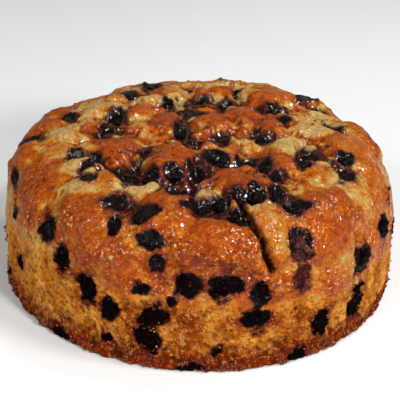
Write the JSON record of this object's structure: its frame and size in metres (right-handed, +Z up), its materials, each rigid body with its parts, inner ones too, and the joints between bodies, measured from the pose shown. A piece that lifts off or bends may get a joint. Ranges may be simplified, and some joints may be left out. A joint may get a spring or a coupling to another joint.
{
  "type": "rum cake",
  "caption": "Round rum and raisin cake with a domed, cracked and glazed golden crust, a paler crumb side and dark raisins in its skin.",
  "frame": {"origin": "middle of the flat base that the cake rests on", "axes": "+Z up through the crown, -Y the side that the picture was taken from, +X to the right as seen from there"},
  "size_m": [0.2015, 0.2022, 0.0793],
  "materials": {
    "cake": "glossy glazed crust over a matt crumb",
    "raisin": "wrinkled and slightly glossy"
  },
  "bodies": {
    "root": {"cake": "cake", "raisin_01": "raisin", "raisin_02": "raisin", "raisin_03": "raisin", "raisin_04": "raisin", "raisin_05": "raisin", "raisin_06": "raisin", "raisin_07": "raisin", "raisin_08": "raisin", "raisin_09": "raisin", "raisin_10": "raisin", "raisin_11": "raisin", "raisin_12": "raisin", "raisin_13": "raisin", "raisin_14": "raisin", "raisin_15": "raisin", "raisin_16": "raisin", "raisin_17": "raisin", "raisin_18": "raisin", "raisin_19": "raisin", "raisin_20": "raisin", "raisin_21": "raisin", "raisin_22": "raisin", "raisin_23": "raisin", "raisin_24": "raisin", "raisin_25": "raisin", "raisin_26": "raisin", "raisin_27": "raisin", "raisin_28": "raisin", "raisin_29": "raisin", "raisin_30": "raisin", "raisin_31": "raisin", "raisin_32": "raisin", "raisin_33": "raisin", "raisin_34": "raisin", "raisin_35": "raisin", "raisin_36": "raisin", "raisin_37": "raisin", "raisin_38": "raisin", "raisin_39": "raisin", "raisin_40": "raisin", "raisin_41": "raisin", "raisin_42": "raisin", "raisin_43": "raisin", "raisin_44": "raisin", "raisin_45": "raisin", "raisin_46": "raisin", "raisin_47": "raisin", "raisin_48": "raisin", "raisin_49": "raisin", "raisin_50": "raisin", "raisin_51": "raisin", "raisin_52": "raisin", "raisin_53": "raisin"}
  },
  "joints": []
}
